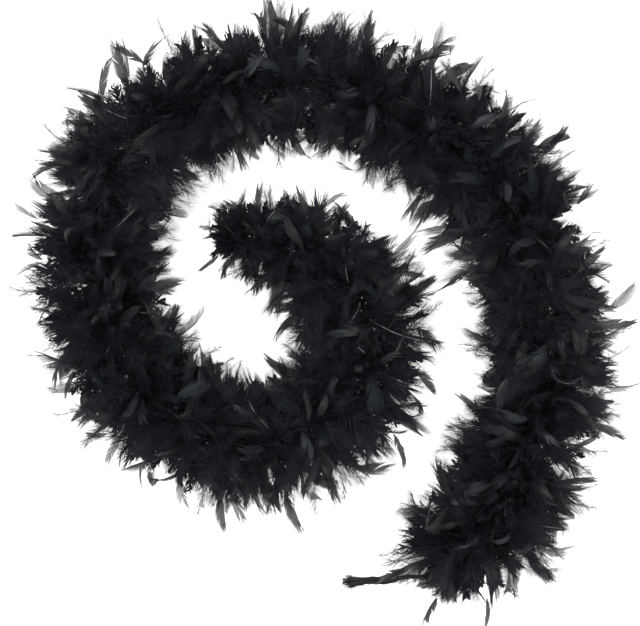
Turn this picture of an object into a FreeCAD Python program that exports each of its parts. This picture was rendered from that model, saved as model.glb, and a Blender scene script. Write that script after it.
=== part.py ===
"""Feather boa: tufts of feathers strung along a twisted core cord, laid down in an open spiral.

Millimetres, +Z up. The boa lies on the plane z = 0, with the middle of its box over the origin.
The core runs level along ROUTE. It is split into short segments, and a hinge about +Z joins each
segment to the next, so that the chain bends as the cord does. Every segment carries whorls of
separate feathers, which end level with the floor underneath.
"""

import FreeCAD, Part
import math
import os

from FreeCAD import Placement, Rotation, Vector

# Driving dimensions, which the spreadsheet holds.
SIZES = [
    ("core_diameter", 7.0),      # the twisted cord
    ("core_height", 45.0),       # its axis above the floor
    ("hinge_gap", 3.0),          # cut in the cord at each hinge, so that its ends clear each other
    ("outer_reach", 86.0),       # core axis to feather tip, on the outside of the spiral
    ("outer_plume", 60.0),       # core axis to the end of the downy part
    ("inner_reach", 62.0),       # on the inside of the spiral, and all round the inner end
    ("inner_plume", 50.0),
    ("top_reach", 73.0),
    ("top_plume", 54.0),
    ("down_reach", 62.0),        # under the cord, before the floor levels them
    ("down_plume", 61.0),
    ("plume_root", 11.0),        # core axis to where the down begins
    ("plume_width", 28.0),
    ("plume_thickness", 6.0),
    ("vane_width", 15.0),        # the stiff flat tip
    ("vane_thickness", 1.5),
    ("quill_diameter", 2.0),
    ("quill_clearance", 0.1),    # between a quill's foot and the cord
    ("knot_diameter", 14.0),
    ("knot_length", 9.0),
    ("knot_round", 1.5),
    ("strand_diameter", 4.0),    # each of the cord's two strands, untwisted past the outer knot
]

# The core's route from the inner end to the outer end, seen from above.
ROUTE = [
    (-104, 85), (-54, 81), (-1, 63), (41, 19), (58, -37), (39, -91), (-6, -127), (-63, -144),
    (-124, -143), (-178, -119), (-216, -69), (-244, -10), (-258, 56), (-251, 123), (-224, 185),
    (-171, 231), (-102, 252), (-26, 259), (48, 244), (120, 212), (183, 162), (225, 93),
    (251, 12), (258, -66), (235, -144), (202, -213), (180, -248), (151, -268),
]

# The two strands of the tail: straight out of the outer knot, then down to the floor and along it.
STRAND_STRAIGHT = 10.0   # first run, along the end of the core
STRANDS = {
    "tail_strand_a": [
        (122, -280, 36), (108, -284, 20), (97, -290, 8), (85, -299, 3.0), (73, -305, 2.2),
        (60, -305, 2.2), (45, -305.5, 2.2), (30, -304.5, 2.2),
    ],
    "tail_strand_b": [
        (127, -290, 38), (118, -298, 24), (107, -302, 10), (95, -302, 3.4), (84, -306, 2.2),
        (72, -310.5, 2.2), (59, -309.8, 2.2), (45, -311, 2.2), (31, -314.5, 2.2),
    ],
}

ARC_SHARE = 0.45         # tangent length of a bend, as a share of its shorter run
WHORL_PITCH = 23.0       # least distance between whorls of feathers along the core
WHORLS_AT_MOST = 3
HINGE_MARGIN = 0.60      # from a hinge to the nearest whorl, as a share of the whorls' spacing
END_LEAN = 35.0          # degrees that an end whorl leans out past the end of the core
END_MARGIN = 12.0        # from the end of the core to the middle of an end whorl
CLOSING_TURN = -2.0      # degrees that a hinge can close before neighbouring feathers meet

doc = FreeCAD.newDocument("FeatherBoa")
sheet = doc.addObject("Spreadsheet::Sheet", "sizes")
for row, (alias, value) in enumerate(SIZES, start=1):
    sheet.set(f"A{row}", alias)
    sheet.set(f"B{row}", str(value))
    sheet.setAlias(f"B{row}", alias)
doc.recompute()

size = {alias: float(sheet.get(alias)) for alias, _ in SIZES}
nodes = []


def bind(obj, **expressions):
    """Bind properties to spreadsheet cells; a double underscore in a name stands for a dot."""
    for name, expression in expressions.items():
        obj.setExpression(name.replace("__", "."), expression)
    return obj


# ---------------------------------------------------------------- routes


def rounded_wire(points):
    """A wire of straight runs joined by tangent arcs, with the radius of each arc."""
    points = [Vector(*p) for p in points]
    edges, radii, start = [], [], points[0]
    for before, corner, after in zip(points, points[1:], points[2:]):
        incoming, outgoing = corner - before, after - corner
        tangent = ARC_SHARE * min(incoming.Length, outgoing.Length)
        incoming.normalize()
        outgoing.normalize()
        half_turn = incoming.getAngle(outgoing) / 2
        radius = tangent / math.tan(half_turn)
        inward = outgoing - incoming
        inward.normalize()
        arc_start, arc_end = corner - incoming * tangent, corner + outgoing * tangent
        arc_middle = corner + inward * radius * (1 / math.cos(half_turn) - 1)
        edges.append(Part.LineSegment(start, arc_start).toShape())
        edges.append(Part.Arc(arc_start, arc_middle, arc_end).toShape())
        radii.append(radius)
        start = arc_end
    edges.append(Part.LineSegment(start, points[-1]).toShape())
    return Part.Wire(edges), radii


def along(wire, distance):
    """The point and unit tangent at a distance along a wire."""
    for edge in wire.OrderedEdges:
        if distance <= edge.Length or edge.isSame(wire.OrderedEdges[-1]):
            parameter = edge.getParameterByLength(min(distance, edge.Length))
            tangent = edge.tangentAt(parameter)
            tangent.normalize()
            return edge.valueAt(parameter), tangent
        distance -= edge.Length


def heading_change(points):
    """Degrees that a flat route turns between its first and last run, positive to the left."""
    turned = 0.0
    for before, corner, after in zip(points, points[1:], points[2:]):
        incoming, outgoing = corner - before, after - corner
        turned += math.degrees(math.atan2(incoming.cross(outgoing).z, incoming.dot(outgoing)))
    return turned


def segment_routes():
    """One bend of the route to each segment, cut in the middle of its runs; the last takes the rest."""
    corners = [Vector(x, y, size["core_height"]) for x, y in ROUTE]
    routes, start = [], corners[0]
    for corner, following in zip(corners[1:-3], corners[2:-2]):
        middle = (corner + following) / 2
        routes.append([start, corner, middle])
        start = middle
    return routes + [[start] + corners[-3:]]


def shortened(points, first_end, last_end):
    """The route with half a hinge gap taken off the ends that meet a hinge."""
    points, half = list(points), size["hinge_gap"] / 2
    if first_end:
        points[0] = points[0] + (points[1] - points[0]).normalize() * half
    if last_end:
        points[-1] = points[-1] + (points[-2] - points[-1]).normalize() * half
    return points


# ---------------------------------------------------------------- cord


def tube(name, wire, diameter_alias):
    """A round cord swept along a wire."""
    path = doc.addObject("Part::Feature", f"{name}_path")
    path.Shape = wire
    start, direction = along(wire, 0)
    section = doc.addObject("Part::Circle", f"{name}_section")
    bind(section, Radius=f"sizes.{diameter_alias} / 2")
    section.Placement = Placement(start, Rotation(Vector(0, 0, 1), direction))
    cord = doc.addObject("Part::Sweep", name)
    cord.Sections = [section]
    cord.Spine = (path, [])
    cord.Solid = True
    cord.Label = name
    return cord


def knot(name, foot, direction):
    """The overhand knot that stops the feathers at an end of the core, as a rounded barrel."""
    barrel = doc.addObject("Part::Cylinder", f"{name}_barrel")
    bind(barrel, Radius="sizes.knot_diameter / 2", Height="sizes.knot_length")
    barrel.Placement = Placement(foot, Rotation(Vector(0, 0, 1), direction))
    doc.recompute()
    rims = [i for i, edge in enumerate(barrel.Shape.Edges, start=1) if edge.isClosed()]
    rounded = doc.addObject("Part::Fillet", name)
    rounded.Base = barrel
    rounded.Edges = [(i, size["knot_round"], size["knot_round"]) for i in rims]
    rounded.Label = name
    return rounded


# ---------------------------------------------------------------- feathers


def leaf(name, root, tip, width, thickness):
    """A pointed flat leaf along +X from root to tip, where two round discs overlap."""
    length = f"({tip} - {root})"
    radius = f"({length} ^ 2 + {width} ^ 2) / (4 * {width})"
    discs = []
    for side, sign in (("left", "-"), ("right", "")):
        disc = doc.addObject("Part::Cylinder", f"{name}_{side}")
        bind(
            disc,
            Radius=radius,
            Height=thickness,
            Placement__Base__x=f"({root} + {tip}) / 2",
            Placement__Base__y=f"{sign}({radius} - {width} / 2)",
            Placement__Base__z=f"-{thickness} / 2",
        )
        discs.append(disc)
    common = doc.addObject("Part::MultiCommon", name)
    common.Shapes = discs
    return common


def master_feather(kind):
    """A quill, a thick downy plume and a thin stiff tip, pointing along +X from the core's axis."""
    reach, plume_end = f"sizes.{kind}_reach", f"sizes.{kind}_plume"
    plume = leaf(
        f"{kind}_plume", "sizes.plume_root", plume_end, "sizes.plume_width", "sizes.plume_thickness"
    )
    vane = leaf(
        f"{kind}_vane", "sizes.plume_root", reach, "sizes.vane_width", "sizes.vane_thickness"
    )
    quill = doc.addObject("Part::Cylinder", f"{kind}_quill")
    foot = "(sizes.core_diameter / 2 + sizes.quill_clearance)"
    quill.Placement = Placement(Vector(), Rotation(Vector(0, 1, 0), 90))
    bind(
        quill,
        Radius="sizes.quill_diameter / 2",
        Height=f"(sizes.plume_root + {plume_end}) / 2 - {foot}",
        Placement__Base__x=foot,
    )
    whole = doc.addObject("Part::MultiFuse", f"{kind}_feather")
    whole.Shapes = [quill, plume, vane]
    return whole


masters = {kind: master_feather(kind) for kind in ("outer", "inner", "top", "down")}
room = doc.addObject("Part::Box", "room_above_floor")
for side in ("Length", "Width", "Height"):
    bind(room, **{side: "20 * sizes.outer_reach"})
for axis in ("x", "y"):
    bind(room, **{f"Placement__Base__{axis}": "-10 * sizes.outer_reach"})
doc.recompute()

# The spiral turns to the right, so its outside is on the left of the route, at angle 0 of a whorl.
WHORLS = [
    [(18, "outer"), (90, "top"), (162, "inner"), (234, "down"), (306, "down")],
    [(-18, "outer"), (54, "top"), (126, "top"), (198, "inner"), (270, "down")],
]


def placed_feather(kind, centre, tangent, angle, lean):
    """A copy of a master feather at an angle round the core, levelled with the floor."""
    left, up = Vector(0, 0, 1).cross(tangent), Vector(0, 0, 1)
    outward = left * math.cos(math.radians(angle)) + up * math.sin(math.radians(angle))
    pointing = outward * math.cos(math.radians(lean)) + tangent * math.sin(math.radians(lean))
    across = tangent.cross(outward)
    turn = Rotation(pointing, across, pointing.cross(across), "XYZ")
    foot = size["core_diameter"] / 2 + size["quill_clearance"]
    slope = math.radians(abs(lean))
    clear_foot = (foot + size["quill_diameter"] / 2 * math.sin(slope)) / math.cos(slope)
    feather = masters[kind].Shape.copy()
    feather.Placement = Placement(centre + pointing * (clear_foot - foot), turn)
    return feather.common(room.Shape).Solids[0]


def whorl(number, centre, tangent, lean, at_inner_end):
    """Five feathers round the core; every other whorl is turned by half a step."""
    feathers = []
    for angle, kind in WHORLS[number % 2]:
        if at_inner_end and kind == "outer":
            kind = "inner"
        feathers.append(placed_feather(kind, centre, tangent, angle, lean))
    return feathers


def whorl_places(wire, first, last):
    """Distance along the segment and lean of each whorl."""
    count = min(WHORLS_AT_MOST, int(wire.Length / WHORL_PITCH))
    margin = HINGE_MARGIN * wire.Length / count
    near = END_MARGIN if first else margin
    far = wire.Length - (END_MARGIN if last else margin)
    places = [near + (far - near) * i / (count - 1) for i in range(count)]
    leans = [0.0] * count
    if first:
        leans[0] = -END_LEAN
    if last:
        leans[-1] = END_LEAN
    return list(zip(places, leans))


# ---------------------------------------------------------------- assembly

routes = segment_routes()
whole_wire, route_radii = rounded_wire([(x, y, size["core_height"]) for x, y in ROUTE])
print("core radii", [round(r) for r in route_radii], "length", round(whole_wire.Length, 1))

lengths = {}
whorls_made = 0
for number, route in enumerate(routes, start=1):
    first, last = number == 1, number == len(routes)
    wire, _ = rounded_wire([tuple(p) for p in shortened(route, not first, not last)])
    cord = tube(f"core_{number:02d}", wire, "core_diameter")
    nodes.append(cord)
    lengths[cord.Label] = (wire.Length, size["core_diameter"])

    feathers = []
    for distance, lean in whorl_places(wire, first, last):
        centre, tangent = along(wire, distance)
        feathers += whorl(whorls_made, centre, tangent, lean, first)
        whorls_made += 1
    # No Part feature sets copies round a curved path and levels them, so the group is set here.
    group = doc.addObject("Part::Feature", f"feathers_{number:02d}")
    group.Shape = Part.makeCompound(feathers)
    group.Label = group.Name
    nodes.append(group)

start_point, start_tangent = along(whole_wire, 0)
end_point, end_tangent = along(whole_wire, whole_wire.Length)
nodes.append(knot("inner_end_knot", start_point, -start_tangent))
nodes.append(knot("outer_end_knot", end_point, end_tangent))

strand_side = Vector(0, 0, 1).cross(end_tangent) * (size["strand_diameter"] / 2 + 0.3)
knot_face = end_point + end_tangent * size["knot_length"]
for (name, points), side in zip(STRANDS.items(), (-1, 1)):
    exit_point = knot_face + strand_side * side
    straight_end = exit_point + end_tangent * STRAND_STRAIGHT
    wire, radii = rounded_wire([tuple(exit_point), tuple(straight_end)] + points)
    print(name, "radii", [round(r) for r in radii], "length", round(wire.Length, 1))
    strand = tube(name, wire, "strand_diameter")
    nodes.append(strand)
    lengths[strand.Label] = (wire.Length, size["strand_diameter"])

doc.recompute()

# ---------------------------------------------------------------- checks and export

for obj in doc.Objects:
    if {"Invalid", "Error"} & set(obj.State):
        raise RuntimeError(f"{obj.Name} is {obj.State}")
for node in nodes:
    shape = node.Shape
    if shape.isNull() or not shape.isValid() or not shape.Solids:
        raise RuntimeError(f"{node.Label} has no valid solid")
for label, (length, diameter) in lengths.items():
    volume = doc.getObjectsByLabel(label)[0].Shape.Volume
    expected = math.pi * (diameter / 2) ** 2 * length
    if abs(volume / expected - 1) > 0.01:
        raise RuntimeError(f"{label} holds {volume:.0f} mm3 where its length asks {expected:.0f}")

os.makedirs("parts", exist_ok=True)
for node in nodes:
    node.Shape.exportStep(os.path.join("parts", f"{node.Label}.step"))

box = FreeCAD.BoundBox()
for node in nodes:
    box.add(node.Shape.BoundBox)
print("nodes", len(nodes), "solids", sum(len(node.Shape.Solids) for node in nodes))
print("box", [round(v, 1) for v in (box.XMin, box.XMax, box.YMin, box.YMax, box.ZMin, box.ZMax)])
print("volume", round(sum(node.Shape.Volume for node in nodes) / 1000), "cm3")
for number, (route, following) in enumerate(zip(routes, routes[1:]), start=1):
    opening = -(heading_change(route) + heading_change(following)) / 2
    place = [round(v, 2) for v in following[0]]
    print(f"bend_{number:02d} at {place} from {CLOSING_TURN} to {opening:.1f} degrees")
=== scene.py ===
"""Feather boa laid in an open spiral. Metres, +Z up.

The boa is built cell by cell along its core. A cell runs from the middle of one segment to the
middle of the next, so that it holds one hinge.
Every feather is made of its quill and of separate barbs: long loose ones for the down, and short
ones laid side by side for the vane.
"""

import math

import bpy
import numpy as np
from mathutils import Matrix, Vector


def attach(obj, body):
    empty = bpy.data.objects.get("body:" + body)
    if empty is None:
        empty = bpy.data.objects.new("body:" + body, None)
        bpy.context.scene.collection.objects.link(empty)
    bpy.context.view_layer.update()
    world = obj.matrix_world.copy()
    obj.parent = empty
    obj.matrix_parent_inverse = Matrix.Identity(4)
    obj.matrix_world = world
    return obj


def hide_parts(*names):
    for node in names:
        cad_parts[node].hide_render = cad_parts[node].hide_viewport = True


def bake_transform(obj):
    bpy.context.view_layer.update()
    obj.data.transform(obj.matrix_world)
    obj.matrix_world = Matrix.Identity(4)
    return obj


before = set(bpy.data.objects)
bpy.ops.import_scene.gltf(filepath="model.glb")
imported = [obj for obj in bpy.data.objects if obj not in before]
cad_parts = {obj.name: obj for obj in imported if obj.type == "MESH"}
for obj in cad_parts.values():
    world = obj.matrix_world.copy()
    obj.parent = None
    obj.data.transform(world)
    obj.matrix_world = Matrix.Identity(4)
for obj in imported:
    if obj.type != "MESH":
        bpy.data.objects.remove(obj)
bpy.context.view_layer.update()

SEED = 762
rng = np.random.default_rng(SEED)

CORE_Z = 0.045
CORE_RADIUS = 0.0035
FLOOR_SQUASH = 0.014     # feathers start to press flat at this height above the floor
CEILING = 0.106          # and are bent over above this one
CEILING_DEPTH = 0.016

# The core's route from the inner end to the outer end, in millimetres, seen from above.
ROUTE = [
    (-104, 85), (-54, 81), (-1, 63), (41, 19), (58, -37), (39, -91), (-6, -127), (-63, -144),
    (-124, -143), (-178, -119), (-216, -69), (-244, -10), (-258, 56), (-251, 123), (-224, 185),
    (-171, 231), (-102, 252), (-26, 259), (48, 244), (120, 212), (183, 162), (225, 93),
    (251, 12), (258, -66), (235, -144), (202, -213), (180, -248), (151, -268),
]
SEGMENTS = 25
CORNERS = np.array([(x, y, CORE_Z * 1000) for x, y in ROUTE]) / 1000


def unit(v):
    return v / np.maximum(np.linalg.norm(v, axis=-1, keepdims=True), 1e-12)


# ---------------------------------------------------------------- centreline


def smooth_route(corners, steps=24):
    """A curve that touches each run of the route in its middle."""
    middles = (corners[:-1] + corners[1:]) / 2
    starts = np.concatenate([[corners[0]], middles[1:-1]])
    ends = np.concatenate([middles[1:-1], [corners[-1]]])
    u = np.linspace(0, 1, steps, endpoint=False)[:, None]
    parts = [
        (1 - u) ** 2 * start + 2 * u * (1 - u) * corner + u ** 2 * end
        for start, corner, end in zip(starts, corners[1:-1], ends)
    ]
    return np.concatenate(parts + [[corners[-1]]])


def arc_lengths(points):
    """Distance along a line of points from its first one."""
    return np.concatenate([[0], np.cumsum(np.linalg.norm(np.diff(points, axis=0), axis=1))])


def along(points, distances, s):
    """Points on a line at arc lengths s, where distances are its own points' arc lengths."""
    return np.stack([np.interp(s, distances, points[:, i]) for i in range(3)], -1)


LINE = smooth_route(CORNERS)
LINE_S = arc_lengths(LINE)
BOA_LENGTH = LINE_S[-1]
TANGENT_REACH = 0.006    # a tangent is taken between two points this far to each side


def at(s):
    """Points, tangents and left-hand sides of the core at arc lengths s, run on straight past its ends."""
    s = np.asarray(s, float)
    inside = np.clip(s, 0, BOA_LENGTH)
    ahead = along(LINE, LINE_S, np.clip(inside + TANGENT_REACH, 0, BOA_LENGTH))
    behind = along(LINE, LINE_S, np.clip(inside - TANGENT_REACH, 0, BOA_LENGTH))
    tangent = unit(ahead - behind)
    points = along(LINE, LINE_S, inside) + tangent * (s - inside)[..., None]
    left = np.stack([-tangent[..., 1], tangent[..., 0], 0 * tangent[..., 0]], -1)
    return points, tangent, left


def nearest_s(point):
    """Arc length of the core's point nearest to point."""
    return LINE_S[np.argmin(np.linalg.norm(LINE - point, axis=1))]


# A cell's limits are the route's corners, which are the middles of the segments.
CELL_S = [0.0] + [nearest_s(CORNERS[k]) for k in range(1, SEGMENTS + 1)] + [BOA_LENGTH]


# ---------------------------------------------------------------- meshes


class Strips:
    """Collects ribbons and tubes as quads, with a tone for each vertex."""

    def __init__(self):
        self.points, self.quads, self.tones, self.count = [], [], [], 0

    def add(self, points, quads, tones):
        self.points.append(points)
        self.quads.append(quads)
        self.tones.append(tones)
        self.count += len(points)

    def grid(self, left, right, tone):
        """Ribbons between left and right edges (ribbons, stations, 3), with tone (ribbons,)."""
        n, k, _ = left.shape
        if n == 0:
            return
        verts = np.stack([left, right], 2).reshape(-1, 3)
        base = (np.arange(n) * k * 2)[:, None] + (np.arange(k - 1) * 2)[None]
        quads = np.stack([base, base + 1, base + 3, base + 2], -1).reshape(-1, 4) + self.count
        self.add(verts, quads, np.repeat(tone, 2 * k))

    def tubes(self, centre, side, up, radius, tone, sides=4):
        """Open tubes along centre (tubes, stations, 3), with radius (tubes, stations) and tone (tubes,)."""
        n, k, _ = centre.shape
        if n == 0:
            return
        angle = np.arange(sides) / sides * 2 * np.pi
        cos, sin = np.cos(angle)[:, None], np.sin(angle)[:, None]
        out = cos * side[:, :, None] + sin * up[:, :, None]
        ring = centre[:, :, None] + radius[:, :, None, None] * out
        verts = ring.reshape(-1, 3)
        i = np.arange(n)[:, None, None] * k * sides
        j = np.arange(k - 1)[None, :, None] * sides
        m = np.arange(sides)[None, None, :]
        a = i + j + m
        b = i + j + (m + 1) % sides
        quads = np.stack([a, b, b + sides, a + sides], -1).reshape(-1, 4) + self.count
        self.add(verts, quads, np.repeat(tone, k * sides))

    def object(self, name, material, slot):
        """One mesh object of everything collected; slot is not used."""
        points = np.concatenate(self.points)
        quads = np.concatenate(self.quads)
        mesh = bpy.data.meshes.new(name)
        mesh.vertices.add(len(points))
        mesh.vertices.foreach_set("co", points.astype(np.float32).ravel())
        mesh.loops.add(quads.size)
        mesh.loops.foreach_set("vertex_index", quads.astype(np.int32).ravel())
        mesh.polygons.add(len(quads))
        mesh.polygons.foreach_set("loop_start", np.arange(0, quads.size, 4, dtype=np.int32))
        mesh.polygons.foreach_set("use_smooth", np.ones(len(quads), bool))
        mesh.update(calc_edges=True)
        tone = mesh.attributes.new("tone", "FLOAT", "POINT")
        tone.data.foreach_set("value", np.concatenate(self.tones).astype(np.float32))
        mesh.materials.append(material)
        obj = bpy.data.objects.new(name, mesh)
        bpy.context.collection.objects.link(obj)
        return obj


def settle(points):
    """Points near the floor are pressed flat on it, and the few that stand too high are pressed down."""
    z = points[..., 2]
    under = np.minimum(z - FLOOR_SQUASH, 0) / FLOOR_SQUASH
    over = np.maximum(z - CEILING, 0) / CEILING_DEPTH
    z = np.where(z < FLOOR_SQUASH, FLOOR_SQUASH * np.exp(under), z)
    points[..., 2] = np.where(over > 0, CEILING + CEILING_DEPTH * (1 - np.exp(-over)), z)
    return points


def turned(v, axis, angle):
    """v turned about unit axes by angle."""
    c, s = np.cos(angle)[..., None], np.sin(angle)[..., None]
    return v * c + np.cross(axis, v) * s + axis * (axis * v).sum(-1, keepdims=True) * (1 - c)


# ---------------------------------------------------------------- materials


def new_material(name):
    material = bpy.data.materials.new(name)
    material.use_nodes = True
    nodes, links = material.node_tree.nodes, material.node_tree.links
    return material, nodes, links, nodes["Principled BSDF"]


NOISE_DETAIL = 3
FEATHER_NOISE = (180, 0.35)     # scale, and share of the tone
CORD_NOISE = (900, 0.6)


def tone_ramp(nodes, links, shader, dark, light, noise_scale, noise_share):
    """Base colour between dark and light by the tone attribute and a fine noise."""
    tone = nodes.new("ShaderNodeAttribute")
    tone.attribute_name = "tone"
    coords = nodes.new("ShaderNodeTexCoord")
    noise = nodes.new("ShaderNodeTexNoise")
    noise.inputs["Scale"].default_value = noise_scale
    noise.inputs["Detail"].default_value = NOISE_DETAIL
    links.new(coords.outputs["Object"], noise.inputs["Vector"])
    add = nodes.new("ShaderNodeMath")
    add.operation = "MULTIPLY_ADD"
    links.new(noise.outputs["Fac"], add.inputs[0])
    add.inputs[1].default_value = noise_share
    links.new(tone.outputs["Fac"], add.inputs[2])
    ramp = nodes.new("ShaderNodeValToRGB")
    ramp.color_ramp.elements[0].position = noise_share * 0.5
    ramp.color_ramp.elements[0].color = (*dark, 1)
    ramp.color_ramp.elements[1].position = 1.0
    ramp.color_ramp.elements[1].color = (*light, 1)
    links.new(add.outputs[0], ramp.inputs["Fac"])
    links.new(ramp.outputs["Color"], shader.inputs["Base Color"])
    return noise


def feather_material(name, dark, light, roughness, specular, alpha=None):
    material, nodes, links, shader = new_material(name)
    tone_ramp(nodes, links, shader, dark, light, *FEATHER_NOISE)
    shader.inputs["Roughness"].default_value = roughness
    shader.inputs["Specular IOR Level"].default_value = specular
    if alpha is not None:
        shader.inputs["Alpha"].default_value = alpha
    return material


DOWN = feather_material("down_black", (0.0094, 0.0107, 0.0143), (0.018, 0.0205, 0.026), 0.75, 0.14)
VANE = feather_material("vane_black", (0.0078, 0.0094, 0.0118), (0.017, 0.020, 0.023), 0.45, 0.22, 0.94)
THIN_VANE = feather_material("vane_thin", (0.0072, 0.0088, 0.0102), (0.019, 0.0225, 0.025), 0.48, 0.24, 0.74)
QUILL = feather_material("quill_black", (0.006, 0.007, 0.008), (0.03, 0.032, 0.034), 0.25, 0.5)
# A quill whose tone is over 1 gets a pale base colour: a painted glint where a glossy quill would catch the
# light.
pale = QUILL.node_tree.nodes["Color Ramp"].color_ramp.elements
pale[1].position = 0.92
pale.new(1.0).color = (0.55, 0.56, 0.58, 1)


def cord_material():
    material, nodes, links, shader = new_material("cord_cotton")
    dark, light = (0.006, 0.0063, 0.0075), (0.027, 0.027, 0.030)
    noise = tone_ramp(nodes, links, shader, dark, light, *CORD_NOISE)
    shader.inputs["Roughness"].default_value = 0.9
    shader.inputs["Specular IOR Level"].default_value = 0.15
    bump = nodes.new("ShaderNodeBump")
    bump.inputs["Strength"].default_value = 0.4
    bump.inputs["Distance"].default_value = 0.0003
    links.new(noise.outputs["Fac"], bump.inputs["Height"])
    links.new(bump.outputs["Normal"], shader.inputs["Normal"])
    return material


CORD = cord_material()


# ---------------------------------------------------------------- feathers


class Feathers:
    """Rachis lines and side vectors of a batch of feathers, with stations every few millimetres."""

    STATIONS = 13
    BARB_STATIONS = 3

    def __init__(self, s, angle, length, lean, droop, curl, fold, crease_at=None, crease=None):
        n = len(s)
        crease_at = np.zeros(n) if crease_at is None else crease_at
        crease = np.zeros(n) if crease is None else crease
        point, tangent, left = at(s)
        up = np.zeros_like(left) + [0, 0, 1]
        outward = left * np.cos(angle)[:, None] + up * np.sin(angle)[:, None]
        heading = unit(outward * np.cos(lean)[:, None] + tangent * np.sin(lean)[:, None])
        root = point + outward * CORE_RADIUS * 0.9
        across = unit(np.cross(heading, outward * 0.02 + np.cross(tangent, outward)))
        across = turned(across, heading, fold)
        u = np.linspace(0, 1, self.STATIONS)
        step = length[:, None] / (self.STATIONS - 1)
        directions, sides = [heading], [across]
        direction, side = heading, across
        for k in range(1, self.STATIONS):
            normal = np.cross(direction, side)
            creased = crease * (abs(u[k] - crease_at) < 0.06)
            bend = curl[:, 0] / (self.STATIONS - 1) * (0.3 + 1.4 * u[k]) + creased
            sway = curl[:, 1] / (self.STATIONS - 1)
            direction = turned(direction, side, bend)
            fall = up * (droop * u[k] / (self.STATIONS - 1))[:, None]
            direction = unit(turned(direction, normal, sway) - fall)
            side = unit(side - direction * (side * direction).sum(-1, keepdims=True))
            side = turned(side, direction, curl[:, 2] / (self.STATIONS - 1))
            directions.append(direction)
            sides.append(side)
        self.direction = np.stack(directions, 1)
        self.side = np.stack(sides, 1)
        steps = np.cumsum(self.direction[:, :-1] * step[..., None], 1)
        self.line = root[:, None] + np.concatenate([np.zeros((n, 1, 3)), steps], 1)
        self.length = length
        self.u = u
        self.n = n

    def subset(self, chosen):
        """The feathers of the batch that are chosen."""
        part = object.__new__(Feathers)
        part.line, part.length = self.line[chosen], self.length[chosen]
        part.direction, part.side = self.direction[chosen], self.side[chosen]
        part.u, part.n = self.u, int(chosen.sum())
        return part

    def sample(self, u):
        """Rachis point, direction and side at u (feathers, barbs)."""
        x = np.clip(u, 0, 1) * (self.STATIONS - 1)
        i = np.minimum(x.astype(int), self.STATIONS - 2)
        f = (x - i)[..., None]
        rows = np.arange(self.n)[:, None]

        def mix(values):
            return values[rows, i] * (1 - f) + values[rows, i + 1] * f

        return mix(self.line), unit(mix(self.direction)), unit(mix(self.side))

    def quills(self, strips, thick, thin, tone):
        """Three-sided quills. thin is the diameter at the tip, and thick is added to it at the foot."""
        k = slice(None, None, 2)
        up = np.cross(self.direction, self.side)[:, k]
        radius = (np.full((self.n, 1), thick) * (1 - self.u[k]) ** 0.7 + thin) / 2
        strips.tubes(settle(self.line[:, k].copy()), self.side[:, k], up, radius, tone, 3)

    def down(
        self, strips, u_from, u_to, barbs, reach, width, tone,
        slant=62, loft=0.9, clump=4, cling=0.6, taper=0.8,
    ):
        """Loose barbs on both sides of the rachis, from u_from to u_to of its length.

        reach (feathers,) is the longest barb's length, and slant is its angle to the rachis in degrees.
        loft is how far barbs leave the plane of the feather. The ends of each clump of barbs cling
        together, and barbs is a multiple of clump.
        """
        stations = self.BARB_STATIONS
        groups = (self.n, barbs // clump, clump)
        for sign in (-1, 1):
            u = u_from + (u_to - u_from) * (np.arange(barbs) + rng.random((self.n, barbs))) / barbs
            point, direction, side = self.sample(u)
            share = (u - u_from) / (u_to - u_from)
            size = reach[:, None] * (0.62 + 0.38 * np.sin(np.pi * np.clip(share * 0.9 + 0.15, 0, 1)))
            size = size * rng.uniform(0.6, 1.15, u.shape)
            angle = np.radians(rng.normal(slant, 11, u.shape) - 24 * share)
            roll = rng.normal(0, loft, groups[:2]).repeat(clump, 1) + rng.normal(0, 0.25, u.shape)
            spread = turned(side * sign, direction, roll)
            heading = unit(direction * np.cos(angle)[..., None] + spread * np.sin(angle)[..., None])
            lateral = unit(np.cross(heading, np.cross(direction, spread)))
            lift = unit(np.cross(heading, lateral))
            end = point + heading * size[..., None]
            middle = end.reshape(*groups, 3).mean(2)
            middle = middle + rng.normal(0, 0.13, middle.shape) * reach[:, None, None]
            pull = (middle.repeat(clump, 1) - end) * cling
            wave = rng.normal(0, 0.10, u.shape + (2,)) * size[..., None]
            v = np.linspace(0, 1, stations)
            bow = v ** 2
            centre = (
                point[:, :, None]
                + (heading * size[..., None])[:, :, None] * v[:, None]
                + pull[:, :, None] * bow[:, None]
                + (lateral * wave[..., :1] + lift * wave[..., 1:])[:, :, None] * (v - bow)[:, None] * 4
            )
            half = width / 2 * (1 - taper * v ** 1.5)
            flat = unit(lateral + lift * rng.normal(0, 0.6, u.shape)[..., None])
            offset = flat[:, :, None] * half[None, None, :, None]
            centre = settle(centre.reshape(-1, stations, 3))
            offset = offset.reshape(-1, stations, 3)
            tones = (tone[:, None] + rng.normal(0, 0.12, u.shape)).clip(0, 1).reshape(-1)
            strips.grid(centre - offset, centre + offset, tones)

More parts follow.
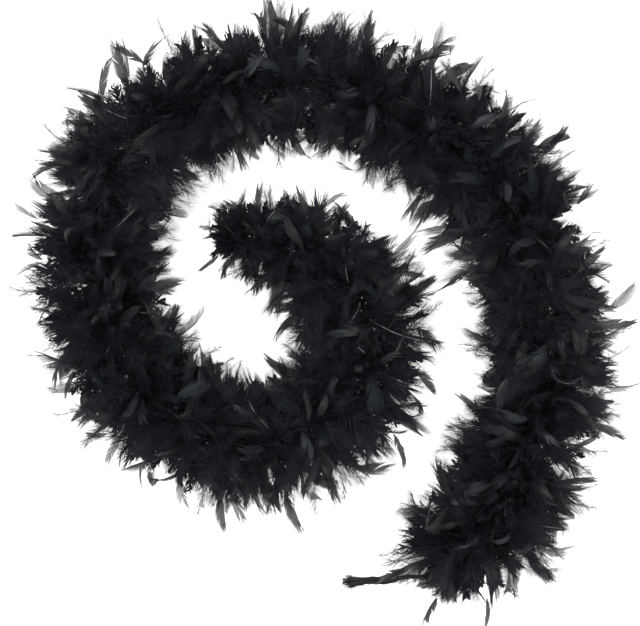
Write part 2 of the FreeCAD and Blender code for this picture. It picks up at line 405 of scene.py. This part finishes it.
    def vane(self, strips, u_from, barbs, width, shape, tone, hook, stations=BARB_STATIONS):
        """Short barbs laid side by side, in groups that have parted here and there.

        width (feathers, 2) is the half width on each side, shape (feathers,) is 0 pointed to 1 blunt,
        and hook (feathers,) is how far the sides bend down.
        """
        for j, sign in enumerate((-1, 1)):
            u = u_from[:, None] + (1.0 - u_from[:, None]) * (np.arange(barbs) + 0.5) / barbs
            u = np.minimum(u, 0.995)
            point, direction, side = self.sample(u)
            share = (u - u_from[:, None]) / (1 - u_from[:, None])
            pointed = np.sin(np.pi * np.clip(share, 0, 1) ** 0.75) ** 0.7
            blunt = np.minimum(1, np.minimum(share * 5 + 0.3, (1 - share) * 3.2 + 0.42))
            outline = pointed * (1 - shape[:, None]) + blunt * shape[:, None]
            angle = np.radians(46 - 34 * share ** 1.5)
            size = width[:, j, None] * outline / np.sin(angle)
            group = np.cumsum(rng.random(u.shape) < 0.16, axis=1)
            jog = rng.normal(0, 1, (self.n, barbs + 1))
            group_jog = np.take_along_axis(jog, group, 1)
            angle = angle + np.radians(4.5) * group_jog
            size = size * (1 + 0.10 * np.take_along_axis(rng.normal(0, 1, jog.shape), group, 1))
            size = size * rng.uniform(0.93, 1.05, u.shape)
            cup = hook[:, None] + 0.05 * group_jog
            normal = np.cross(direction, side)
            heading = direction * np.cos(angle)[..., None] + side * sign * np.sin(angle)[..., None]
            in_plane = -direction * np.sin(angle)[..., None] + side * sign * np.cos(angle)[..., None]
            v = np.linspace(0, 1, stations)
            along_barb = v[None, None] * size[..., None]
            sweep = -(v ** 2)[None, None] * size[..., None] * 0.16
            drop = (v ** 1.6)[None, None] * size[..., None] * cup[..., None]
            centre = (
                point[:, :, None]
                + heading[:, :, None] * along_barb[..., None]
                + in_plane[:, :, None] * sweep[..., None]
                + normal[:, :, None] * drop[..., None]
            )
            spacing = self.length[:, None] * (1 - u_from[:, None]) / barbs * np.sin(angle)
            half = spacing[..., None] * (0.62 - 0.40 * v[None, None] ** 3)
            offset = in_plane[:, :, None] * half[..., None]
            centre = settle(centre.reshape(-1, stations, 3))
            offset = offset.reshape(-1, stations, 3)
            tones = (tone[:, None] + rng.normal(0, 0.10, u.shape)).clip(0, 1).reshape(-1)
            strips.grid(centre - offset, centre + offset, tones)


def body_width(s):
    """Feathers are shorter at the inner end."""
    return np.clip(0.46 + 0.54 * s / 0.11, 0.46, 1.0)


def end_lean(s):
    """Feathers near an end lean out past it."""
    first, last = np.clip(1 - s / 0.040, 0, 1), np.clip(1 - (BOA_LENGTH - s) / 0.045, 0, 1)
    return -0.8 * first + 1.15 * last


def angles_round(n):
    """Angles of feathers round the core; few point straight down."""
    angle = np.radians(rng.uniform(-38, 218, n))
    under = rng.random(n) < 0.13
    return np.where(under, np.radians(rng.uniform(218, 322, n)), angle)


CORE_PER_METRE = 200     # plumes that lie along the core and hide it
BED_PER_METRE = 310      # plumes of matted down at the bottom of the body
WEBS_PER_METRE = 170     # broad webs under it all
KEEL_PER_METRE = 75      # broad webs along the underside of the core
COARSE_PER_METRE = 320   # downy plumes that fill the body
FINE_PER_METRE = 390     # longer plumes of fine down, for the fringe
FILL_PER_METRE = 320     # short broad feathers that lie in the body
FLATS_PER_METRE = 240    # long feathers with a stiff tip
TIPS_PER_METRE = 125     # the longest feathers, whose tips stand clear of the body
END_FULLNESS = 1.7       # the end cells are this much fuller than the others
BLUNT_SHARE = 0.40       # share of the feathers whose tip is blunt
MEAN_HOOK = 0.15
QUILL_THICK, QUILL_THIN = 0.0008, 0.0002
PLUME_QUILL_THICK = 0.0006
QUILL_TONE = 0.5         # a quill is darker than its barbs
# Share of the fill feathers' quills that get a painted glint, and the tone that picks the pale stop of the
# quill colour for it.
PAINTED_GLINT_SHARE, PAINTED_GLINT_TONE = 0.05, 1.5


def evenly(s0, s1, n):
    """n arc lengths from s0 to s1, one at random in each of n equal runs."""
    return s0 + (s1 - s0) * (np.arange(n) + rng.random(n)) / n


def both_sides(n, lowest, highest):
    """Angles from lowest to highest degrees above level, to the left or to the right of the core."""
    left = rng.random(n) < 0.5
    on_left, on_right = rng.uniform(lowest, highest, n), rng.uniform(180 - highest, 180 - lowest, n)
    return np.radians(np.where(left, on_left, on_right))


def curls(n, bend, sway, twist, mean_bend=0):
    """Spreads of a feather's bend, sway and twist, in radians from end to end."""
    return np.stack([rng.normal(mean_bend, bend, n), rng.normal(0, sway, n), rng.normal(0, twist, n)], 1)


def creases(n, share, spread, nearest, farthest):
    """Where feathers are creased, and how much: most of them not at all."""
    crease_at = rng.uniform(nearest, farthest, n)
    return crease_at, np.where(rng.random(n) < share, rng.normal(0, spread, n), 0)


def tufts(n, s0, s1, lean_spread, each=5):
    """Arc lengths, angles and leans of n feathers that sit in loose tufts."""
    groups = max(2, round(n / each))
    group = rng.integers(0, groups, n)
    group_s = evenly(s0, s1, groups)
    angle = angles_round(groups)[group] + rng.normal(0, 0.30, n)
    lean = rng.normal(0, lean_spread, groups)[group] + rng.normal(0, 0.24, n)
    s = np.clip(group_s[group] + rng.normal(0, 0.003, n), s0, s1)
    return s, angle, lean + end_lean(s)


def low(angle):
    """Feathers that stand up are bent over by those that lie on them."""
    return 1 - 0.26 * np.clip(np.sin(angle), 0, 1) ** 2


def stiff_tips(feathers, vanes, thins, thin_share, base, scale, narrowest, start, barbs, tone, hook_spread):
    """Vanes from start (a range) to the tip; thin_share of them let light through.

    base is the range of half widths, and narrowest is the least share of it on the narrower side.
    """
    thin = rng.random(feathers.n) < thin_share
    for chosen, strips in ((thin, thins), (~thin, vanes)):
        part = feathers.subset(chosen)
        n = part.n
        half = rng.uniform(*base, n) * scale[chosen]
        width = np.stack([half * rng.uniform(narrowest, 1.1, n), half * rng.uniform(0.7, 1.15, n)], 1)
        shape = (rng.random(n) < BLUNT_SHARE) * rng.uniform(0.5, 1, n)
        u_from = rng.uniform(*start, n)
        part.vane(strips, u_from, barbs, width, shape, tone[chosen], rng.normal(MEAN_HOOK, hook_spread, n))


def cell_feathers(cell):
    """The strips of down, dense vane, thin vane and quill of a cell."""
    s0, s1 = CELL_S[cell], CELL_S[cell + 1]
    length_of_cell = (s1 - s0) * (END_FULLNESS if cell in (0, SEGMENTS) else 1)
    downs, vanes, thins, quills = Strips(), Strips(), Strips(), Strips()

    # Matted down at the bottom of the body.
    n = round(length_of_cell * BED_PER_METRE)
    s = rng.uniform(s0, s1, n)
    angle = both_sides(n, -35, 5)
    length = rng.uniform(0.048, 0.068, n) * body_width(s)
    lean = rng.normal(0, 0.35, n) + end_lean(s)
    curl = curls(n, 0.3, 0.3, 0.3)
    plumes = Feathers(s, angle, length, lean, rng.uniform(0.1, 0.3, n), curl, rng.uniform(-0.4, 0.4, n))
    reach = rng.uniform(0.013, 0.018, n) * body_width(s)
    tone = rng.uniform(0.0, 0.3, n)
    plumes.down(downs, 0.0, 1.0, 24, reach, 0.0027, tone, slant=50, loft=0.25, taper=0.5)

    # Broad webs pressed together on the floor.
    n = round(length_of_cell * WEBS_PER_METRE)
    s = evenly(s0, s1, n)
    angle = both_sides(n, -40, 0)
    length = rng.uniform(0.050, 0.066, n) * body_width(s)
    lean = rng.normal(0, 0.35, n) + end_lean(s)
    curl = curls(n, 0.3, 0.3, 0.3)
    webs = Feathers(s, angle, length, lean, rng.uniform(0.1, 0.3, n), curl, rng.uniform(-0.3, 0.3, n))
    width = rng.uniform(0.011, 0.015, (n, 2)) * body_width(s)[:, None]
    tone = rng.uniform(0, 0.3, n)
    webs.vane(downs, np.full(n, 0.02), 26, width, np.full(n, 0.6), tone, rng.normal(0, 0.15, n))

    # Plumes that lie along the core.
    n = round(length_of_cell * CORE_PER_METRE)
    s = rng.uniform(s0, s1, n)
    angle = np.radians(rng.uniform(0, 360, n))
    lean = rng.choice([-1, 1], n) * rng.uniform(0.8, 1.35, n)
    length = rng.uniform(0.034, 0.050, n) * body_width(s)
    curl = curls(n, 0.4, 0.35, 0.6)
    plumes = Feathers(s, angle, length, lean, rng.uniform(0.1, 0.35, n), curl, rng.uniform(-0.6, 0.6, n))
    tone = rng.uniform(0.0, 0.45, n)
    reach = rng.uniform(0.016, 0.024, n) * body_width(s)
    plumes.down(downs, 0.0, 1.0, 36, reach, 0.0020, tone, loft=0.5)

    # Downy plumes that fill the body.
    n = round(length_of_cell * COARSE_PER_METRE)
    s, angle, lean = tufts(n, s0, s1, 0.30)
    length = rng.uniform(0.060, 0.086, n) * body_width(s) * low(angle)
    curl = curls(n, 0.5, 0.35, 0.6)
    plumes = Feathers(s, angle, length, lean, rng.uniform(0.1, 0.35, n), curl, rng.uniform(-1.5, 1.5, n))
    tone = rng.uniform(0.0, 0.45, n)
    reach = rng.uniform(0.020, 0.030, n) * body_width(s)
    plumes.down(downs, 0.05, 0.80, 40, reach, 0.0009, tone, slant=52)
    plumes.quills(quills, PLUME_QUILL_THICK, QUILL_THIN, tone * QUILL_TONE)

    # Plumes of fine down.
    n = round(length_of_cell * FINE_PER_METRE)
    s, angle, lean = tufts(n, s0, s1, 0.32)
    length = rng.uniform(0.070, 0.099, n) * body_width(s) * low(angle)
    curl = curls(n, 0.5, 0.35, 0.6)
    plumes = Feathers(s, angle, length, lean, rng.uniform(0.1, 0.35, n), curl, rng.uniform(-1.5, 1.5, n))
    tone = rng.uniform(0.1, 0.7, n)
    reach = rng.uniform(0.020, 0.031, n) * body_width(s)
    plumes.down(downs, 0.25, 1.0, 72, reach, 0.00030, tone, slant=44, clump=4, cling=0.35)
    plumes.quills(quills, PLUME_QUILL_THICK, QUILL_THIN, tone * QUILL_TONE)

    # The longest feathers.
    n = round(length_of_cell * TIPS_PER_METRE)
    s = evenly(s0, s1, n)
    angle = both_sides(n, -28, 40)
    lean = rng.normal(0, 0.55, n) + end_lean(s)
    length = rng.uniform(0.086, 0.107, n) * body_width(s)
    curl = curls(n, 1.2, 1.0, 1.0, mean_bend=0.3)
    creased = creases(n, 0.35, 0.9, 0.6, 0.9)
    droop, fold = rng.uniform(0.1, 0.4, n), rng.uniform(-0.7, 0.7, n)
    longest = Feathers(s, angle, length, lean, droop, curl, fold, *creased)
    tone = rng.beta(1.4, 2.2, n)
    longest.quills(quills, QUILL_THICK, QUILL_THIN, tone * QUILL_TONE)
    stiff_tips(
        longest, vanes, thins, thin_share=0.35, base=(0.0066, 0.0124), scale=body_width(s), narrowest=0.5,
        start=(0.54, 0.68), barbs=26, tone=tone, hook_spread=0.25,
    )

    # Short broad feathers in the body.
    n = round(length_of_cell * FILL_PER_METRE)
    s, angle, lean = tufts(n, s0, s1, 0.5, 3)
    length = rng.uniform(0.058, 0.090, n) * body_width(s) * low(angle)
    curl = curls(n, 0.7, 0.4, 0.8, mean_bend=0.1)
    fold = rng.uniform(-1.0, 1.0, n)
    fills = Feathers(s, angle, length, lean, rng.uniform(0.15, 0.4, n), curl, fold)
    tone = rng.beta(1.2, 3.2, n) * 0.7
    base = rng.uniform(0.0070, 0.0115, n)
    width = np.stack([base * rng.uniform(0.7, 1.1, n), base * rng.uniform(0.7, 1.1, n)], 1)
    u_from = rng.uniform(0.12, 0.3, n)
    shape = (rng.random(n) < BLUNT_SHARE) * 0.7
    fills.vane(vanes, u_from, 26, width, shape, tone, rng.normal(MEAN_HOOK, 0.25, n))
    # A few quills get a painted glint: a pale base colour where their glossy back would catch the light.
    painted_glint = rng.random(n) < PAINTED_GLINT_SHARE
    fills.quills(quills, QUILL_THICK, 0.0003, np.where(painted_glint, PAINTED_GLINT_TONE, tone * QUILL_TONE))

    # Long feathers with a stiff tip past their down.
    n = round(length_of_cell * FLATS_PER_METRE)
    s, angle, lean = tufts(n, s0, s1, 0.50, 2)
    length = rng.triangular(0.070, 0.090, 0.102, n) * body_width(s) * low(angle)
    broad = rng.random(n) < 0.68
    fold = np.where(broad, rng.uniform(-0.6, 0.6, n), rng.choice([-1, 1], n) * rng.uniform(0.9, 1.5, n))
    curl = curls(n, 0.9, 0.60, 0.8, mean_bend=0.2)
    creased = creases(n, 0.25, 0.7, 0.55, 0.85)
    flats = Feathers(s, angle, length, lean, rng.uniform(0.15, 0.45, n), curl, fold, *creased)
    tone = rng.beta(1.4, 2.2, n)
    reach = rng.uniform(0.014, 0.021, n) * body_width(s)
    flats.down(downs, 0.10, 0.60, 28, reach, 0.0006, tone * 0.6)
    flats.quills(quills, QUILL_THICK, QUILL_THIN, tone * QUILL_TONE)
    stiff_tips(
        flats, vanes, thins, thin_share=0.34, base=(0.0054, 0.0112), scale=np.ones(n), narrowest=0.6,
        start=(0.38, 0.6), barbs=24, tone=tone, hook_spread=0.22,
    )
    return {
        "down": (downs, DOWN),
        "vanes": (vanes, VANE),
        "thin_vanes": (thins, THIN_VANE),
        "quills": (quills, QUILL),
    }


def keel_webs(cell, strips):
    """Broad webs along the underside of the core, which close the gaps beside it."""
    s0, s1 = CELL_S[cell], CELL_S[cell + 1]
    n = round((s1 - s0) * KEEL_PER_METRE)
    s = evenly(s0, s1, n)
    angle = np.radians(rng.uniform(-130, -50, n))
    lean = rng.choice([-1, 1], n) * rng.uniform(1.2, 1.45, n)
    length = rng.uniform(0.034, 0.046, n) * body_width(s)
    curl = rng.normal(0, 0.2, (n, 3))
    webs = Feathers(s, angle, length, lean, rng.uniform(0.05, 0.15, n), curl, rng.uniform(-0.3, 0.3, n))
    width = rng.uniform(0.010, 0.014, (n, 2))
    tone = rng.uniform(0, 0.3, n)
    webs.vane(strips, np.zeros(n), 26, width, np.full(n, 0.6), tone, rng.normal(0, 0.15, n), stations=4)


CORE_STRAND_RADIUS = 0.0018
CORE_STRAND_OFF_CENTRE = 0.0017
CORE_TWIST_PITCH = 0.016
CORE_STRAND_STEP = 0.0018
CORD_TONE = np.array([0.35])
CORD_SIDES = 10


def core_strands(cell):
    """The two twisted strands of the core through a cell."""
    s0, s1 = CELL_S[cell], CELL_S[cell + 1]
    strips = Strips()
    count = max(4, round((s1 - s0) / CORE_STRAND_STEP))
    s = np.linspace(s0, s1, count)
    point, tangent, left = at(s)
    up = np.zeros_like(left) + [0, 0, 1]
    for phase in (0, math.pi):
        turn = 2 * math.pi * s / CORE_TWIST_PITCH + phase
        out = left * np.cos(turn)[:, None] + up * np.sin(turn)[:, None]
        centre = point + out * CORE_STRAND_OFF_CENTRE
        side = np.cross(tangent, out)
        radius = np.full((1, count), CORE_STRAND_RADIUS)
        strips.tubes(centre[None], side[None], out[None], radius, CORD_TONE, CORD_SIDES)
    return strips


def place(obj, cell):
    """Parents an end cell's piece to its end segment's body, and bakes any other cell's piece into world
    space.
    """
    if cell == 0:
        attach(obj, "segment_01")
    elif cell == SEGMENTS:
        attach(obj, f"segment_{SEGMENTS:02d}")
    else:
        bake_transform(obj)


feathers = [cell_feathers(cell) for cell in range(SEGMENTS + 1)]
for cell, pieces in enumerate(feathers):
    segment = max(cell, 1)
    keel_webs(cell, pieces["down"][0])
    for kind, (strips, material) in pieces.items():
        obj = strips.object(f"{kind}_{cell:02d}", material, "feather")
        place(obj, cell)
        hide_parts(f"feathers_{segment:02d}")
    obj = core_strands(cell).object(f"core_cord_{cell:02d}", CORD, "cord")
    place(obj, cell)
    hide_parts(f"core_{segment:02d}")


# ---------------------------------------------------------------- knots


KNOT_PAST_END = 0.0045
KNOT_SCALE = 0.0018
KNOT_CORD_RADIUS = 0.0019
KNOT_STATIONS = 97


def overhand_knot(name, centre, axis, body, node):
    """An overhand knot pulled tight, which is a trefoil with its axis along the core."""
    t = np.linspace(0, 2 * np.pi, KNOT_STATIONS)
    axis = unit(np.array(axis))
    a = unit(np.cross(axis, [0, 0, 1]))
    b = np.cross(axis, a)
    x = np.sin(t) + 1.6 * np.sin(2 * t)
    y = np.cos(t) - 1.6 * np.cos(2 * t)
    z = -1.25 * np.sin(3 * t)
    line = centre + KNOT_SCALE * (x[:, None] * a + y[:, None] * b + z[:, None] * axis)
    direction = unit(np.gradient(line, axis=0))
    side = unit(np.cross(direction, axis + 0.01 * a))
    up = np.cross(direction, side)
    strips = Strips()
    radius = np.full((1, KNOT_STATIONS), KNOT_CORD_RADIUS)
    strips.tubes(line[None], side[None], up[None], radius, CORD_TONE, CORD_SIDES)
    obj = strips.object(name, CORD, "cord")
    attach(obj, body)
    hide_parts(node)


start_point, start_tangent, _ = at(0.0)
end_point, end_tangent, _ = at(BOA_LENGTH)
inner_knot_at = start_point - start_tangent * KNOT_PAST_END
outer_knot_at = end_point + end_tangent * KNOT_PAST_END
overhand_knot("knot_inner", inner_knot_at, start_tangent, "segment_01", "inner_end_knot")
overhand_knot("knot_outer", outer_knot_at, end_tangent, "segment_25", "outer_end_knot")


# ---------------------------------------------------------------- tail

# Each strand's side of the core, and its route in millimetres from where it leaves the knot.
STRANDS = {
    "tail_strand_a": (-1, [
        (122, -280, 36), (108, -284, 20), (97, -290, 8), (85, -299, 3.0), (73, -305, 2.2),
        (60, -305, 2.2), (45, -305.5, 2.2), (30, -306.2, 2.2),
    ]),
    "tail_strand_b": (1, [
        (127, -290, 38), (118, -298, 24), (107, -302, 10), (95, -302, 3.4), (84, -306, 2.2),
        (72, -309.3, 2.2), (59, -308.9, 2.2), (45, -309.6, 2.2), (31, -312.2, 2.2),
    ]),
}
end_left = np.array([-end_tangent[1], end_tangent[0], 0])


STRAND_SIDE = 0.0023       # from the core's middle to the strand's, where it leaves the knot
STRAND_PAST_END = 0.009    # where it leaves the knot, past the core's end
STRAND_STRAIGHT = 0.010    # and how far it runs straight from there
STRAND_STEP = 0.0012
YARNS = 4
YARN_RADIUS = 0.00105
YARN_SPACING = 0.0009
YARN_LOWEST = 0.0013
FIBRE_SIDES = 4
LOOSE_FIBRES, LOOSE_STATIONS = 46, 7
LOOSE_RADIUS, LOOSE_LOWEST = 0.00026, 0.0022
END_FIBRES, END_STATIONS = 90, 6
END_RADIUS, END_LOWEST = 0.00034, 0.0004


def resampled(points, step):
    """A line of points about a step apart, and their arc lengths."""
    distances = arc_lengths(points)
    s = np.linspace(0, distances[-1], max(8, round(distances[-1] / step)))
    return along(points, distances, s), s


def crinkled_yarns(line, s, side, lift, sign):
    """Crinkled yarns laid side by side, which weave over and under each other."""
    strips = Strips()
    for j in range(YARNS):
        crinkle = 0.00016 * np.sin(s / 0.0021 + j * 2.1) + 0.0002 * np.sin(s / 0.009 + j * 1.7 + sign)
        weave = 0.0005 * np.sin(s / 0.005 + j * 2.4)
        across = (j - (YARNS - 1) / 2) * YARN_SPACING + crinkle
        centre = line + side * across[:, None] + lift * weave[:, None]
        centre[:, 2] = np.maximum(centre[:, 2], YARN_LOWEST)
        radius = np.full((1, len(s)), YARN_RADIUS) * (1 + 0.10 * np.sin(s / 0.0017 + j)[None])
        strips.tubes(centre[None], side[None], lift[None], radius, np.array([0.3 + 0.25 * j]), 8)
    return strips


def loose_fibre(fray, line, side, lift):
    """A fibre that stands off the strand's outer half in a low arch."""
    first = rng.integers(int(len(line) * 0.45), len(line) - 12)
    last = min(len(line) - 1, first + rng.integers(6, 16))
    path = line[np.linspace(first, last, LOOSE_STATIONS).astype(int)].copy()
    arch = np.sin(np.linspace(0, np.pi, LOOSE_STATIONS))
    path += side[first] * (rng.uniform(-0.0015, 0.0015) + arch * rng.normal(0, 0.0012))[:, None]
    path[:, 2] = LOOSE_LOWEST + arch * rng.uniform(0.0, 0.002)
    radius = np.full(LOOSE_STATIONS, LOOSE_RADIUS)
    fibre(fray, path, side[first], lift[first], radius, rng.uniform(0.1, 0.6))


def end_fibre(fray, end, direction, side, lift):
    """A fibre of the strand's frayed end."""
    begin = end - direction * rng.uniform(0.002, 0.014) + side * rng.uniform(-0.0022, 0.0022)
    begin[2] = rng.uniform(0.0008, 0.0032)
    v = np.linspace(0, 1, END_STATIONS)
    aim = direction + side * rng.normal(0, 0.32) + lift * rng.normal(0, 0.1)
    size = rng.uniform(0.008, 0.014)
    path = begin + np.outer(v * size, unit(aim)) + side * (v ** 2 * rng.normal(0, 0.0016))[:, None]
    path[:, 2] = np.maximum(path[:, 2] * (1 - 0.7 * v), END_LOWEST)
    fibre(fray, path, side, lift, END_RADIUS * (1 - 0.5 * v), rng.uniform(0.1, 0.7))


def fibre(fray, path, side, lift, radius, tone):
    """One fibre along a path, with the strand's side and lift all along it."""
    sides, lifts = np.repeat(side[None], len(path), 0), np.repeat(lift[None], len(path), 0)
    fray.tubes(path[None], sides[None], lifts[None], radius[None], np.array([tone]), FIBRE_SIDES)


for name, (sign, points) in STRANDS.items():
    exit_point = end_point + end_tangent * STRAND_PAST_END + end_left * sign * STRAND_SIDE
    straight_end = exit_point + end_tangent * STRAND_STRAIGHT
    corners = np.concatenate([[exit_point, straight_end], np.array(points) / 1000])
    line, s = resampled(smooth_route(corners, 20), STRAND_STEP)
    direction = unit(np.gradient(line, axis=0))
    up = np.zeros_like(direction) + [0, 0, 1]
    side = unit(np.cross(direction, up))
    lift = np.cross(side, direction)
    obj = crinkled_yarns(line, s, side, lift, sign).object(name + "_yarns", CORD, "cord")
    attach(obj, "segment_25")
    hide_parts(name)
    fray = Strips()
    for _ in range(LOOSE_FIBRES):
        loose_fibre(fray, line, side, lift)
    for _ in range(END_FIBRES):
        end_fibre(fray, line[-1], direction[-1], side[-1], lift[-1])
    frayed = fray.object(name + "_fray", CORD, "cord")
    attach(frayed, "segment_25")
    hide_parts(name)


# ---------------------------------------------------------------- light, floor and camera

WHITE = (1, 1, 1, 1)
FLOOR_HALF = 6
FLOOR_GLOW = 0.7           # brings the floor up to the photo's white
CAMERA_AT = (-0.0034, 0, 1.737)
LENS_MM, SENSOR_MM = 85, 36

world = bpy.data.worlds.new("studio")
world.use_nodes = True
background = world.node_tree.nodes["Background"].inputs
background["Color"].default_value = WHITE
background["Strength"].default_value = 1.0
bpy.context.scene.world = world

floor_mesh = bpy.data.meshes.new("floor")
floor_corners = [(x * FLOOR_HALF, y * FLOOR_HALF, 0) for x, y in ((-1, -1), (1, -1), (1, 1), (-1, 1))]
floor_mesh.from_pydata(floor_corners, [], [(0, 1, 2, 3)])
floor = bpy.data.objects.new("floor", floor_mesh)
bpy.context.collection.objects.link(floor)
floor_material, _, _, floor_shader = new_material("floor_pale")
floor_shader.inputs["Base Color"].default_value = (0.9, 0.9, 0.9, 1)
floor_shader.inputs["Roughness"].default_value = 0.9
floor_shader.inputs["Emission Color"].default_value = WHITE
floor_shader.inputs["Emission Strength"].default_value = FLOOR_GLOW
floor_mesh.materials.append(floor_material)


def area_light(name, place_at, size_m, power):
    """A square soft light aimed at the middle of the boa."""
    light = bpy.data.lights.new(name, "AREA")
    light.shape = "SQUARE"
    light.size = size_m
    light.energy = power
    lamp = bpy.data.objects.new(name, light)
    lamp.location = place_at
    lamp.rotation_euler = (-Vector(place_at)).to_track_quat("-Z", "Y").to_euler()
    bpy.context.collection.objects.link(lamp)


area_light("softbox_top_left", (-1.2, 1.0, 2.2), 1.4, 42)
area_light("softbox_right", (1.5, -0.6, 1.8), 1.2, 22)

camera_data = bpy.data.cameras.new("camera")
camera_data.lens = LENS_MM
camera_data.sensor_width = SENSOR_MM
camera = bpy.data.objects.new("camera", camera_data)
camera.location = CAMERA_AT
camera.rotation_euler = (0, 0, 0)
bpy.context.collection.objects.link(camera)
bpy.context.scene.camera = camera
bpy.context.scene.view_settings.view_transform = "Standard"
